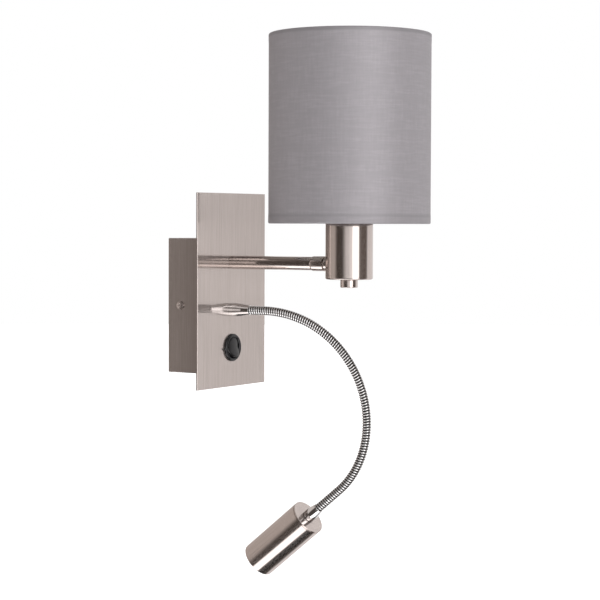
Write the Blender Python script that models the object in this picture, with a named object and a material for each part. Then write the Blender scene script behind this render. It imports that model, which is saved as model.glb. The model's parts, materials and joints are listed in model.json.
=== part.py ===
"""Wall-mounted bedside light: a shaded lamp on a straight arm and a small spot on a bendable neck.

Metres, +Z up.  The origin is the centre of the wall bracket's rear face, which lies on the wall.
The wall is the plane y = 0 and the light faces -Y.
"""
from math import cos, pi, radians, sin, sqrt, tan

import bmesh
import bpy
import numpy as np
from mathutils import Vector

# ---- driving dimensions ----------------------------------------------------------------
GAP = 0.0003                # clearance between two pieces that touch

BOX_W, BOX_H, BOX_DEPTH = 0.080, 0.110, 0.0345
BOX_WALL = 0.0012
PLATE_W, PLATE_T = 0.100, 0.0015
PLATE_TOP, PLATE_BOTTOM = 0.092, -0.068
BRACKET_W, BRACKET_H, BRACKET_T = 0.0740, 0.096, 0.0015
SIDE_SCREW_Y = -0.0125      # the two screws that hold the box on its bracket
SIDE_SCREW_R = 0.0016

ARM_Z = 0.035               # height of the straight arm
ARM_REACH = 0.112           # front of the plate to the middle of the shade
ARM_R, ARM_BORE = 0.0055, 0.0043
STUD_R, STUD_BORE = 0.0040, 0.0025
HOLE_R = STUD_R + GAP       # clearance hole for a stud

CUP_R, CUP_H, CUP_WALL = 0.019, 0.050, 0.001
CUP_Z = 0.0228              # underside of the lamp holder cup
SHADE_R, SHADE_Z, SHADE_H = 0.065, 0.0672, 0.150
SHADE_CLOTH = 0.0005
WIRE_R = 0.0012             # wire of the two shade rings
BULB_R = 0.0225

SWITCH_Z = -0.0357
SWITCH_RIM_R, SWITCH_BODY_R, SWITCH_HOLE_R = 0.0115, 0.0098, 0.01015
ROCKER_R = 0.0083
ROCKER_TILT = radians(10)   # each way from level

NECK_Z = -0.0043
NECK_R, NECK_BORE = 0.00375, 0.0020
NECK_LINKS = 10             # sections of the neck, with a joint between each two
LINK_GAP = 0.0008           # between two sections, wide enough for them to tilt by 18 degrees
LINK_DOME = 0.0026          # length over which the ends of a section are rounded
NECK_STRAIGHT = 0.0315      # plate to the start of the bend
BEND_LENGTH = 0.208
BEND_RADIUS_START, BEND_RADIUS_END = 0.116, 0.067
NECK_LENGTH = 0.277         # plate to the rear face of the spot
FERRULE_LENGTH = 0.0182
TIP_FERRULE_LENGTH = 0.0135

HEAD_R, HEAD_LENGTH, HEAD_WALL = 0.015, 0.062, 0.0015

PLATE_BACK = -(BOX_DEPTH + GAP)
PLATE_FRONT = PLATE_BACK - PLATE_T
SHADE_Y = PLATE_FRONT - ARM_REACH

# ---- materials: colour, roughness, metallic --------------------------------------------
FINISHES = {
    "satin_nickel": ((0.52, 0.47, 0.44), 0.34, 1.0),
    "chrome": ((0.78, 0.78, 0.79), 0.10, 1.0),
    "zinc_steel": ((0.55, 0.56, 0.57), 0.42, 1.0),
    "brass": ((0.72, 0.53, 0.24), 0.35, 1.0),
    "aluminium": ((0.66, 0.67, 0.68), 0.45, 1.0),
    "grey_fabric": ((0.40, 0.38, 0.40), 0.90, 0.0),
    "white_lining": ((0.82, 0.81, 0.78), 0.60, 0.0),
    "white_enamel": ((0.80, 0.80, 0.78), 0.40, 0.0),
    "black_plastic": ((0.020, 0.020, 0.022), 0.38, 0.0),
    "white_plastic": ((0.78, 0.77, 0.72), 0.45, 0.0),
    "opal_glass": ((0.90, 0.89, 0.86), 0.25, 0.0),
    "clear_plastic": ((0.85, 0.88, 0.90), 0.08, 0.0),
    "led_phosphor": ((0.85, 0.72, 0.22), 0.55, 0.0),
    "grey_rubber": ((0.10, 0.10, 0.10), 0.75, 0.0),
    "blue_wire": ((0.05, 0.16, 0.55), 0.45, 0.0),
    "brown_wire": ((0.22, 0.09, 0.04), 0.45, 0.0),
}


def finish(name):
    """The Principled material of that name, made on first use."""
    if name in bpy.data.materials:
        return bpy.data.materials[name]
    colour, roughness, metallic = FINISHES[name]
    material = bpy.data.materials.new(name)
    material.use_nodes = True
    shader = material.node_tree.nodes["Principled BSDF"]
    shader.inputs["Base Color"].default_value = (*colour, 1.0)
    shader.inputs["Roughness"].default_value = roughness
    shader.inputs["Metallic"].default_value = metallic
    return material


def add_object(name, bm, material, at=(0, 0, 0), turn=(0, 0, 0), parent=None):
    """Turn a bmesh into a smooth-shaded object and place it."""
    bmesh.ops.recalc_face_normals(bm, faces=bm.faces)
    mesh = bpy.data.meshes.new(name)
    bm.to_mesh(mesh)
    bm.free()
    mesh.shade_smooth()
    mesh.set_sharp_from_angle(angle=radians(30))
    if material:
        mesh.materials.append(finish(material))
    obj = bpy.data.objects.new(name, mesh)
    bpy.context.scene.collection.objects.link(obj)
    obj.location = at
    obj.rotation_euler = turn
    obj.parent = parent
    return obj


def turned(name, outline, material, at=(0, 0, 0), turn=(0, 0, 0), sides=24, parent=None):
    """A lathe piece: a closed (radius, height) outline spun about the piece's own Z axis."""
    bm = bmesh.new()
    corners = [bm.verts.new((radius, 0, height)) for radius, height in outline]
    rim = []
    for a, b in zip(corners, corners[1:] + corners[:1]):
        if a.co.x > 0 or b.co.x > 0:
            rim.append(bm.edges.new((a, b)))
    bmesh.ops.spin(bm, geom=corners + rim, cent=(0, 0, 0), axis=(0, 0, 1), angle=2 * pi, steps=sides)
    bmesh.ops.remove_doubles(bm, verts=bm.verts, dist=1e-6)
    return add_object(name, bm, material, at, turn, parent)


def tube(name, radius, bore, length, material, at, turn=(0, 0, 0), sides=24, parent=None):
    """A plain round tube from the piece's origin along its own Z axis."""
    outline = [(bore, 0), (radius, 0), (radius, length), (bore, length)]
    return turned(name, outline, material, at, turn, sides, parent)


def hex_nut(name, flats, bore, length, material, at, turn=(0, 0, 0), parent=None):
    """A hexagon nut with a plain round bore."""
    corner = flats / sqrt(3)
    nut = turned(name, [(0, 0), (corner, 0), (corner, length), (0, length)], material, at, turn, 6,
                 parent)
    cutter = [(0, -GAP), (bore, -GAP), (bore, length + GAP), (0, length + GAP)]
    cut(nut, turned(name + "_bore", cutter, None, at, turn, 16, parent))
    return nut


def box(name, size, centre, material, bevel=0.0, turn=(0, 0, 0), parent=None):
    """A block, with rounded edges where a bevel width is given."""
    bm = bmesh.new()
    bmesh.ops.create_cube(bm, size=1.0)
    bmesh.ops.scale(bm, vec=size, verts=bm.verts)
    if bevel:
        bmesh.ops.bevel(bm, geom=bm.edges, offset=bevel, segments=1, affect="EDGES")
    return add_object(name, bm, material, centre, turn, parent)


def boolean(obj, other, operation):
    """Combine an object with a guide object, which stays out of the build."""
    modifier = obj.modifiers.new(operation.lower(), "BOOLEAN")
    modifier.operation = operation
    modifier.solver = "EXACT"
    modifier.object = other
    other.hide_render = True
    other.display_type = "WIRE"


def cut(obj, *cutters):
    """Take the cutters away from the object."""
    for cutter in cutters:
        boolean(obj, cutter, "DIFFERENCE")


def join(obj, *others):
    """Add the other solids to the object."""
    for other in others:
        boolean(obj, other, "UNION")


def hole(name, radius, length, centre, turn=(0, 0, 0), sides=20, parent=None):
    """A round cutter, centred, along its own Z axis."""
    outline = [(0, -length / 2), (radius, -length / 2), (radius, length / 2), (0, length / 2)]
    return turned(name, outline, None, centre, turn, sides, parent)


FORWARD = (radians(90), 0, 0)       # turns a piece's own Z axis to -Y
LEFT = (0, radians(-90), 0)         # and to -X
RIGHT = (0, radians(90), 0)         # and to +X


# ---- the neck's centre line ------------------------------------------------------------
def neck_angle(s):
    """Heading below level at the distance s from the plate, in radians.

    The curvature is 0 on the straight ends, and grows evenly over the bend between them.
    """
    u = np.clip(np.asarray(s, float) - NECK_STRAIGHT, 0, BEND_LENGTH)
    start, end = 1 / BEND_RADIUS_START, 1 / BEND_RADIUS_END
    return start * u + (end - start) * u * u / (2 * BEND_LENGTH)


def neck_point(s):
    """Point of the centre line at the distance s: the heading summed over a thousand steps."""
    steps = (np.arange(1000) + 0.5) / 1000 * s
    heading = neck_angle(steps)
    forward = float(np.cos(heading).mean()) * s
    down = float(np.sin(heading).mean()) * s
    return Vector((0, PLATE_FRONT - forward, NECK_Z - down))


def neck_turn(s):
    """Rotation that points a piece's own Z axis along the neck at s."""
    return (radians(90) + float(neck_angle(s)), 0, 0)


LINK_START = FERRULE_LENGTH + GAP
LINK_END = NECK_LENGTH - TIP_FERRULE_LENGTH
LINK_PITCH = (LINK_END - LINK_START) / NECK_LINKS


def joint_distance(number):
    """Distance along the neck of the joint behind link number + 1."""
    return LINK_START + number * LINK_PITCH


# ---- wall side -------------------------------------------------------------------------
def build_wall_bracket():
    bracket = box("wall_bracket", (BRACKET_W, BRACKET_T, BRACKET_H), (0, -BRACKET_T / 2, 0), "zinc_steel")
    ear_depth = 0.026
    ear_x = BOX_W / 2 - BOX_WALL - GAP - BRACKET_T / 2
    for side, name in ((-1, "left"), (1, "right")):
        ear = box("bracket_ear_" + name, (BRACKET_T, ear_depth, 0.020),
                  (side * ear_x, -ear_depth / 2, 0), None)
        join(bracket, ear)
        cut(bracket, hole("bracket_tap_" + name, SIDE_SCREW_R + GAP, 0.006,
                          (side * ear_x, SIDE_SCREW_Y, 0), RIGHT, 16))
    cut(bracket, hole("bracket_cable_hole", 0.0075, 0.006, (0.016, 0, 0.033), FORWARD, 20))
    for side, name in ((-1, "low"), (1, "high")):
        slot = box("bracket_slot_" + name, (0.014, 0.006, 0.005), (-0.020, 0, side * 0.038), None)
        cut(bracket, slot)


def build_back_box():
    """A folded steel tray, open towards the wall, with its front wall behind the plate."""
    shell = box("back_box", (BOX_W, BOX_DEPTH, BOX_H), (0, -BOX_DEPTH / 2, 0), "satin_nickel", 0.0006)
    inside = box("box_inside", (BOX_W - 2 * BOX_WALL, BOX_DEPTH, BOX_H - 2 * BOX_WALL),
                 (0, -BOX_DEPTH / 2 + BOX_WALL, 0), None)
    cut(shell, inside)
    for side, name in ((-1, "left"), (1, "right")):
        cut(shell, hole("box_side_hole_" + name, SIDE_SCREW_R + GAP, 0.006,
                        (side * BOX_W / 2, SIDE_SCREW_Y, 0), RIGHT, 16))
    plate = box("front_plate", (PLATE_W, PLATE_T, PLATE_TOP - PLATE_BOTTOM),
                (0, PLATE_FRONT + PLATE_T / 2, (PLATE_TOP + PLATE_BOTTOM) / 2), "satin_nickel", 0.0002)
    holes = [hole("arm_hole", HOLE_R, 0.010, (0, PLATE_BACK, ARM_Z), FORWARD),
             hole("neck_hole", HOLE_R, 0.010, (0, PLATE_BACK, NECK_Z), FORWARD),
             hole("switch_hole", SWITCH_HOLE_R, 0.010, (0, PLATE_BACK, SWITCH_Z), FORWARD, 32)]
    cut(shell, *holes)
    cut(plate, *holes)


def build_side_screws():
    """Pan-head screws through the box sides into the bracket's ears."""
    head_r, head_t, shank = 0.0034, 0.0018, 0.006
    outline = [(0, -shank), (SIDE_SCREW_R, -shank), (SIDE_SCREW_R, 0), (head_r, 0),
               (head_r, head_t * 0.45), (head_r * 0.75, head_t * 0.9), (0, head_t)]
    for side, turn, name in ((-1, LEFT, "left"), (1, RIGHT, "right")):
        at = (side * (BOX_W / 2 + GAP), SIDE_SCREW_Y, 0)
        screw = turned("box_screw_" + name, outline, "satin_nickel", at, turn, 16)
        for way, size in (("up", (0.0016, 0.0008, 0.0044)), ("across", (0.0016, 0.0044, 0.0008))):
            slot = box("box_screw_%s_%s" % (name, way), size,
                       (side * (BOX_W / 2 + GAP + head_t), SIDE_SCREW_Y, 0), None)
            cut(screw, slot)


def build_wiring():
    """What sits on the bracket: cable grommet, terminals, earth screw and the spot's driver."""
    groove = BRACKET_T / 2 + GAP
    grommet = [(0.0045, -BRACKET_T / 2), (0.0072, -BRACKET_T / 2), (0.0072, groove), (0.0095, groove),
               (0.0095, 0.0026), (0.0045, 0.0032)]
    turned("cable_grommet", grommet, "grey_rubber", (0.016, -BRACKET_T / 2, 0.033), FORWARD, 20)
    block_size = (0.030, 0.013, 0.016)
    block_at = (-0.018, -BRACKET_T - GAP - block_size[1] / 2, 0.014)
    block = box("terminal_block", block_size, block_at, "white_plastic", 0.0006)
    for number in range(3):
        x = block_at[0] + (number - 1) * 0.0095
        cut(block, hole("wire_way_%d" % number, 0.0017, 0.030, (x, block_at[1], block_at[2]), sides=12))
        well_at = (x, block_at[1] - block_size[1] / 2, block_at[2])
        cut(block, hole("screw_well_%d" % number, 0.0019, 0.009, well_at, FORWARD, 12))
    box("led_driver", (0.022, 0.018, 0.040), (0.0255, -BRACKET_T - GAP - 0.009, -0.0265),
        "white_plastic", 0.0012)
    turned("earth_screw", [(0, 0), (0.0038, 0), (0.0038, 0.0016), (0.0026, 0.0026), (0, 0.0026)],
           "brass", (-0.022, -BRACKET_T - GAP, -0.020), FORWARD, 16)
    build_lead("switch_lead", [(-0.0275, -0.0083, 0.010), (-0.0275, -0.0083, 0.002), (-0.026, -0.009, -0.010),
                               (-0.012, -0.0095, -0.0215), (-0.001, -0.0095, -0.0262),
                               (0, -0.0095, -0.0305)], "brown_wire")
    build_lead("driver_lead", [(-0.0085, -0.0083, 0.010), (-0.0085, -0.0083, 0.003), (0.002, -0.0095, -0.0035),
                               (0.018, -0.0105, 0.002), (0.0255, -0.0108, -0.0015),
                               (0.0255, -0.0108, -0.0062)], "blue_wire")


def build_lead(name, points, material):
    """An insulated lead: a round wire along a smooth curve through a few points."""
    curve = bpy.data.curves.new(name, "CURVE")
    curve.dimensions = "3D"
    curve.bevel_depth = 0.0010
    curve.bevel_resolution = 2
    curve.use_fill_caps = True
    curve.materials.append(finish(material))
    spline = curve.splines.new("POLY")
    route = [Vector(point) for point in points]
    steps = 4
    path = []
    for k in range(len(route) - 1):
        before, start = route[max(k - 1, 0)], route[k]
        end, after = route[k + 1], route[min(k + 2, len(route) - 1)]
        for step in range(steps):
            t = step / steps
            path.append(((2 * start) + (end - before) * t
                         + (2 * before - 5 * start + 4 * end - after) * t * t
                         + (3 * start - before - 3 * end + after) * t ** 3) / 2)
    path.append(route[-1])
    spline.points.add(len(path) - 1)
    for point, place in zip(spline.points, path):
        point.co = (*place, 1)
    obj = bpy.data.objects.new(name, curve)
    bpy.context.scene.collection.objects.link(obj)


# ---- switch ----------------------------------------------------------------------------
def build_switch():
    rim_t, body_depth, well_r = 0.0020, 0.0210, ROCKER_R + GAP
    front = PLATE_FRONT - GAP
    outline = [(0, -body_depth), (SWITCH_BODY_R, -body_depth), (SWITCH_BODY_R, 0), (SWITCH_RIM_R, 0),
               (SWITCH_RIM_R, rim_t * 0.45), (SWITCH_RIM_R - 0.0006, rim_t * 0.85),
               (SWITCH_RIM_R - 0.0014, rim_t), (well_r + 0.0004, rim_t), (well_r, rim_t - 0.0004),
               (well_r, -0.0085), (0, -0.0085)]
    housing = turned("switch_housing", outline, "black_plastic", (0, front, SWITCH_Z), FORWARD, 24)
    for side, name in ((-1, "left"), (1, "right")):
        key = box("switch_key_" + name, (0.0022, 0.0012, 0.0024),
                  (side * (SWITCH_RIM_R + 0.0002), front - 0.0006, SWITCH_Z - 0.0015), None)
        join(housing, key)
        box("switch_tab_" + name, (0.0048, 0.0075, 0.0008),
            (0, front + body_depth + GAP + 0.00375, SWITCH_Z - side * 0.0045), "brass")

    hinge = (0, front - 0.0006, SWITCH_Z)
    half, rise, middle, floor = 0.010, tan(ROCKER_TILT), 0.0011, -0.0050
    bm = bmesh.new()
    profile = [(-half, floor), (half, floor), (half, middle + half * rise), (0, middle),
               (-half, middle + half * rise)]
    face = bm.faces.new([bm.verts.new((-half, -depth, z)) for z, depth in profile])
    extruded = bmesh.ops.extrude_face_region(bm, geom=[face])
    moved = [item for item in extruded["geom"] if isinstance(item, bmesh.types.BMVert)]
    bmesh.ops.translate(bm, vec=(2 * half, 0, 0), verts=moved)
    rocker = add_object("switch_rocker", bm, "black_plastic", hinge, (-ROCKER_TILT, 0, 0))
    ball = bmesh.new()
    bmesh.ops.create_uvsphere(ball, u_segments=28, v_segments=16, radius=ROCKER_R)
    envelope = add_object("rocker_envelope", ball, None, hinge, FORWARD)
    boolean(rocker, envelope, "INTERSECT")


# ---- arm and lamp holder ---------------------------------------------------------------
def build_plate_fixings(name, z, length):
    """The hollow stud through plate and box, with its washer and nut inside the box."""
    inner = -(BOX_DEPTH - BOX_WALL) + GAP
    tube(name + "_stud", STUD_R, STUD_BORE, length, "zinc_steel", (0, -0.0240, z), FORWARD, 16)
    tube(name + "_washer", 0.0085, HOLE_R, 0.0012, "zinc_steel", (0, inner + 0.0012, z), FORWARD, 16)
    hex_nut(name + "_nut", 0.013, HOLE_R, 0.004, "brass", (0, inner + 0.0012 + GAP + 0.004, z), FORWARD)


def build_arm():
    build_plate_fixings("arm", ARM_Z, 0.0260)
    cup_face = SHADE_Y + CUP_R
    collar_length, spacer_length = 0.0112, 0.0027
    spacer_start = cup_face + GAP + spacer_length
    collar_start = spacer_start + GAP + collar_length
    arm_end = collar_start + GAP
    arm_start = PLATE_FRONT - GAP
    tube("arm_tube", ARM_R, ARM_BORE, arm_start - arm_end, "satin_nickel", (0, arm_start, ARM_Z), FORWARD)
    collar_r = 0.00605
    collar = [(ARM_BORE, 0), (collar_r - 0.0005, 0), (collar_r, 0.0007), (collar_r, collar_length - 0.0007),
              (collar_r - 0.0005, collar_length), (ARM_BORE, collar_length)]
    turned("arm_collar", collar, "satin_nickel", (0, collar_start, ARM_Z), FORWARD)
    tube("arm_spacer", 0.0052, HOLE_R, spacer_length, "satin_nickel", (0, spacer_start, ARM_Z), FORWARD, 20)
    tube("cup_stud", STUD_R, STUD_BORE, 0.036, "zinc_steel", (0, arm_end + 0.0130, ARM_Z), FORWARD, 16)
    hex_nut("cup_stud_nut", 0.0115, HOLE_R, 0.0030, "brass", (0, cup_face - 0.0028, ARM_Z), FORWARD)


def build_lamp_holder():
    axis = (0, SHADE_Y, 0)
    edge = 0.0012
    top = CUP_Z + CUP_H
    cup = [(HOLE_R, CUP_Z), (CUP_R - edge, CUP_Z), (CUP_R - edge * 0.3, CUP_Z + edge * 0.3),
           (CUP_R, CUP_Z + edge), (CUP_R, top), (CUP_R - CUP_WALL, top),
           (CUP_R - CUP_WALL, CUP_Z + 0.0015), (HOLE_R, CUP_Z + 0.0015)]
    holder = turned("holder_cup", cup, "satin_nickel", axis, sides=32)
    cut(holder, hole("cup_side_hole", HOLE_R, 0.010, (0, SHADE_Y + CUP_R, ARM_Z), FORWARD, 20))
    nut_low, nut_r = 0.0163, 0.0070
    nut_top = CUP_Z - GAP
    cap = [(0, nut_low), (nut_r - 0.0004, nut_low), (nut_r, nut_low + 0.0004), (nut_r, nut_top - 0.0004),
           (nut_r - 0.0004, nut_top), (HOLE_R, nut_top), (HOLE_R, nut_low + 0.0020), (0, nut_low + 0.0020)]
    turned("cap_nut", cap, "satin_nickel", axis)
    tube("cup_nipple", STUD_R, STUD_BORE, 0.0282, "zinc_steel", (0, SHADE_Y, nut_low + 0.0023), sides=16)
    hex_nut("cup_nut", 0.013, HOLE_R, 0.004, "brass", (0, SHADE_Y, CUP_Z + 0.0018))

    socket_low, socket_top, well_r = 0.0420, 0.0785, 0.0080
    floor = socket_low + 0.0080
    socket = [(HOLE_R, socket_low), (0.0110, socket_low), (0.0110, floor), (0.0135, floor + 0.0020),
              (0.0135, socket_top), (well_r, socket_top), (well_r, floor), (0.0015, floor),
              (0.0015, floor - 0.0025), (HOLE_R, floor - 0.0025)]
    turned("lamp_socket", socket, "black_plastic", axis)
    tube("socket_shell", well_r - GAP, 0.0073, 0.0200, "brass", (0, SHADE_Y, floor + 0.0040), sides=24)
    turned("socket_contact", [(0, 0), (0.0040, 0), (0.0030, 0.0012), (0, 0.0012)], "brass",
           (0, SHADE_Y, floor + GAP), sides=16)

    cap_low = floor + 0.0018
    cap_top = cap_low + 0.0225
    bulb_cap = [(0, cap_low), (0.0020, cap_low), (0.0025, cap_low + 0.0015), (0.0055, cap_low + 0.0035),
                (0.0068, cap_low + 0.0045), (0.0068, cap_top), (0, cap_top)]
    turned("bulb_cap", bulb_cap, "aluminium", axis, sides=24)
    glass_low = cap_top + GAP
    throat = 0.0072
    centre = glass_low + 0.0325
    start = np.arcsin(throat / BULB_R) + radians(8)
    arc = [start + (pi - start) * k / 7 for k in range(8)]
    outside = [(throat, glass_low), (throat, glass_low + 0.0050)]
    outside += [(BULB_R * sin(a), centre - BULB_R * cos(a)) for a in arc[:-1]]
    inner_r = BULB_R - 0.0009
    inside = [(inner_r * sin(a), centre - inner_r * cos(a)) for a in reversed(arc[:-1])]
    inside += [(throat - 0.0009, glass_low + 0.0050), (throat - 0.0009, glass_low)]
    poles = [(0, centre + BULB_R), (0, centre + inner_r)]
    turned("bulb_glass", outside + poles + inside, "opal_glass", axis, sides=20)
    return top, socket_top


def build_shade(cup_top, socket_top):
    """The drum shade: carrier with its lower ring, upper ring, lining and stretched cloth."""
    ring_r = SHADE_R - 2 * SHADE_CLOTH - 2 * GAP - WIRE_R - GAP
    low_ring_z = SHADE_Z + 0.0004 + WIRE_R
    hub_z, hub_t = cup_top + GAP, 0.0015
    carrier = tube("shade_carrier", 0.0205, 0.0138, hub_t, "white_enamel", (0, SHADE_Y, hub_z), sides=24)
    join(carrier, wire_ring("carrier_ring", ring_r, low_ring_z, None))
    for number in range(3):
        angle = radians(90 + 120 * number)
        bm = bmesh.new()
        ends = ((0.0195, hub_z + hub_t / 2), (ring_r, low_ring_z + 0.0001))
        rings = []
        for radius, height in ends:
            corners = []
            for across, up in ((-1, -1), (1, -1), (1, 1), (-1, 1)):
                place = Vector((radius, across * 0.0024, height + up * 0.0006))
                corners.append(bm.verts.new(place))
            rings.append(bm.faces.new(corners))
        bmesh.ops.bridge_loops(bm, edges=[edge for face in rings for edge in face.edges])
        join(carrier, add_object("carrier_arm_%d" % number, bm, None, (0, SHADE_Y, 0), (0, 0, angle)))
    wire_ring("shade_top_ring", ring_r, SHADE_Z + SHADE_H - 0.0004 - WIRE_R, "white_enamel")
    nut_z = hub_z + hub_t + GAP
    turned("shade_ring_nut", [(0.0138, nut_z), (0.0175, nut_z), (0.0175, nut_z + 0.0010),
                              (0.0158, nut_z + 0.0016), (0.0158, socket_top), (0.0138, socket_top)],
           "black_plastic", (0, SHADE_Y, 0))
    lining_r = SHADE_R - SHADE_CLOTH - GAP
    tube("shade_lining", lining_r, lining_r - SHADE_CLOTH, SHADE_H - 2 * GAP, "white_lining",
         (0, SHADE_Y, SHADE_Z + GAP), sides=40)
    tube("shade_fabric", SHADE_R, SHADE_R - SHADE_CLOTH, SHADE_H, "grey_fabric",
         (0, SHADE_Y, SHADE_Z), sides=40)


def wire_ring(name, radius, z, material):
    """A ring of round wire about the shade's axis."""
    outline = [(radius + WIRE_R * cos(a), WIRE_R * sin(a)) for a in np.arange(5) * 2 * pi / 5]
    return turned(name, outline, material, (0, SHADE_Y, z), sides=40)


# ---- neck and spot ---------------------------------------------------------------------
def neck_link(name, start, end, parent):
    """One section of the neck: a tube along the centre line whose ends are domed.

    The domes let two sections turn against each other about the point between them.
    """
    sides, bends = 10, 4
    angles = [radians(a) for a in (0, 45, 90)]
    stations = [(start + LINK_DOME * (1 - cos(a)), NECK_BORE + (NECK_R - NECK_BORE) * sin(a))
                for a in angles]
    middle = np.linspace(start + LINK_DOME, end - LINK_DOME, bends + 1)[1:-1]
    stations += [(s, NECK_R) for s in middle]
    stations += [(start + end - s, radius) for s, radius in reversed(stations[:len(angles)])]
    stations += [(s, NECK_BORE) for s in reversed(middle)]
    around = np.arange(sides) * 2 * pi / sides
    bm = bmesh.new()
    rings = []
    origin = parent.location if parent else Vector((0, 0, 0))
    for s, radius in stations:
        angle = float(neck_angle(s))
        normal = Vector((0, -sin(angle), cos(angle)))
        centre = neck_point(s) - origin
        ring = [bm.verts.new(centre + radius * (cos(a) * Vector((1, 0, 0)) + sin(a) * normal))
                for a in around]
        rings.append(ring)
    for ring, following in zip(rings, rings[1:] + rings[:1]):
        for k in range(sides):
            after = (k + 1) % sides
            bm.faces.new((ring[k], ring[after], following[after], following[k]))
    return add_object(name, bm, "chrome", parent=parent)


def build_neck():
    build_plate_fixings("neck", NECK_Z, 0.0220)
    outline = [(HOLE_R, 0), (0.0055, 0), (0.0059, 0.0020), (0.0060, 0.0050), (0.0057, 0.0100),
               (0.0049, 0.0140), (0.0041, FERRULE_LENGTH - GAP), (NECK_BORE, FERRULE_LENGTH - GAP),
               (NECK_BORE, 0.0100), (HOLE_R, 0.0100)]
    turned("root_ferrule", outline, "chrome", (0, PLATE_FRONT - GAP, NECK_Z), FORWARD, 20)
    head = None
    for number in range(NECK_LINKS):
        start = joint_distance(number) + (LINK_GAP / 2 if number else 0)
        end = joint_distance(number + 1) - (LINK_GAP if number < NECK_LINKS - 1 else GAP) / 2
        pivot = None
        if number:
            pivot = bpy.data.objects.new("neck_joint_%d" % number, None)
            pivot.location = neck_point(joint_distance(number))
            bpy.context.scene.collection.objects.link(pivot)
        neck_link("neck_link_%02d" % (number + 1), start, end, pivot)
        head = pivot
    return head


def build_spot(pivot):
    """The spot rides on the last section of the neck; its pieces are stacked on one axis."""
    rear = neck_point(NECK_LENGTH) - pivot.location
    turn = neck_turn(NECK_LENGTH)
    along = (neck_point(NECK_LENGTH) - neck_point(NECK_LENGTH - 0.001)).normalized()

    def stacked(name, outline, material, sides=20):
        return turned(name, outline, material, rear, turn, sides, pivot)

    stud_r = 0.0025
    wide = stud_r + GAP
    low = GAP - TIP_FERRULE_LENGTH
    stacked("tip_ferrule", [(0.0015, low), (0.0041, low), (0.0046, low + 0.0030), (0.0052, low + 0.0065),
                            (0.0053, -0.0030), (0.0050, -GAP), (wide, -GAP), (wide, -0.0098),
                            (0.0015, -0.0098)], "chrome")
    stacked("head_stud", [(0.0012, -0.0095), (stud_r, -0.0095), (stud_r, 0.0075), (0.0012, 0.0075)],
            "zinc_steel", 12)
    hex_nut("head_nut", 0.008, wide, 0.0035, "brass", rear + along * (0.0020 + GAP), turn, pivot)
    bore = HEAD_R - HEAD_WALL
    edge = 0.0004
    stacked("head_barrel", [(wide, 0), (HEAD_R - edge, 0), (HEAD_R, edge), (HEAD_R, HEAD_LENGTH - 0.0008),
                            (HEAD_R - 0.0006, HEAD_LENGTH), (bore, HEAD_LENGTH), (bore, 0.0020),
                            (wide, 0.0020)], "satin_nickel", 32)
    fit = bore - GAP
    groove = fit - 0.0030
    sink = [(0.0030, 0.0330), (fit, 0.0330)]
    for fin in range(2):
        z = 0.0330 + 0.0018 + fin * 0.0036
        sink += [(fit, z), (groove, z), (groove, z + 0.0018), (fit, z + 0.0018)]
    sink += [(fit, 0.0470), (0.0030, 0.0470)]
    stacked("heat_sink", sink, "aluminium")
    stacked("led_board", [(0, 0.0473), (0.0110, 0.0473), (0.0110, 0.0483), (0, 0.0483)], "white_plastic")
    box("led_chip", (0.0035, 0.0035, 0.0009), rear + along * (0.0486 + 0.00045), "led_phosphor",
        turn=turn, parent=pivot)
    stacked("spot_lens", [(0, 0.0498), (0.0040, 0.0498), (0.0090, 0.0545), (0.0115, 0.0590),
                          (0.0060, 0.0596), (0, 0.0598)], "clear_plastic")
    stacked("lens_ring", [(0.0100, 0.0601), (fit, 0.0601), (fit, 0.0616), (0.0106, 0.0616)],
            "black_plastic", 24)


def main():
    for obj in list(bpy.data.objects):
        bpy.data.objects.remove(obj, do_unlink=True)
    build_wall_bracket()
    build_back_box()
    build_side_screws()
    build_wiring()
    build_switch()
    build_arm()
    build_shade(*build_lamp_holder())
    build_spot(build_neck())


main()
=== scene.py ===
import json
from functools import partial
from math import cos, pi, radians, sin, tau

import bmesh
import bpy
import numpy as np
from bpy.props import FloatProperty, FloatVectorProperty, IntProperty, PointerProperty
from mathutils import Matrix, Vector


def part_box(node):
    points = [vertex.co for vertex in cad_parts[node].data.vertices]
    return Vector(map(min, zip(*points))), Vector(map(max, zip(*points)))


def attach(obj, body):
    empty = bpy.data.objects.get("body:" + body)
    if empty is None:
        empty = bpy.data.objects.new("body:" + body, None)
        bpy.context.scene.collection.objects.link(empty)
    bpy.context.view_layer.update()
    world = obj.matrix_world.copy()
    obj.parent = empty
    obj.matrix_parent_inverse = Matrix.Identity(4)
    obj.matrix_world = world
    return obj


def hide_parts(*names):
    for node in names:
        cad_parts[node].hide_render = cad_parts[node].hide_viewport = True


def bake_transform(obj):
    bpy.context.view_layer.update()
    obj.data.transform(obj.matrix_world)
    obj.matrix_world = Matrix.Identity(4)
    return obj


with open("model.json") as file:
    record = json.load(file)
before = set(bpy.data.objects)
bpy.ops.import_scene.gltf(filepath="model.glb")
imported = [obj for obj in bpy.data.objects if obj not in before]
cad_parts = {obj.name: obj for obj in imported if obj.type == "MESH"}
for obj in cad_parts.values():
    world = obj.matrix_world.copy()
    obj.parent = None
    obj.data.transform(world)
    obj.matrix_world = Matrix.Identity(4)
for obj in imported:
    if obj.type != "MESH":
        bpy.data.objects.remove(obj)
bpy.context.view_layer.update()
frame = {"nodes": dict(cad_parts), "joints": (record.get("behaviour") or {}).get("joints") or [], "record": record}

bl_info = {
    "name": "Bedside wall light",
    "version": (1, 0, 0),
    "blender": (4, 5, 0),
    "location": "3D View > Sidebar > Wall light",
    "description": "Builds the fine surfaces, finishes and studio of a wall light with a reading spot",
    "category": "Object",
}

NODES = frame["nodes"]
SLOT_OF = {part["node"]: part["material_slot"] for part in frame["record"]["subparts"]}

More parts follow.
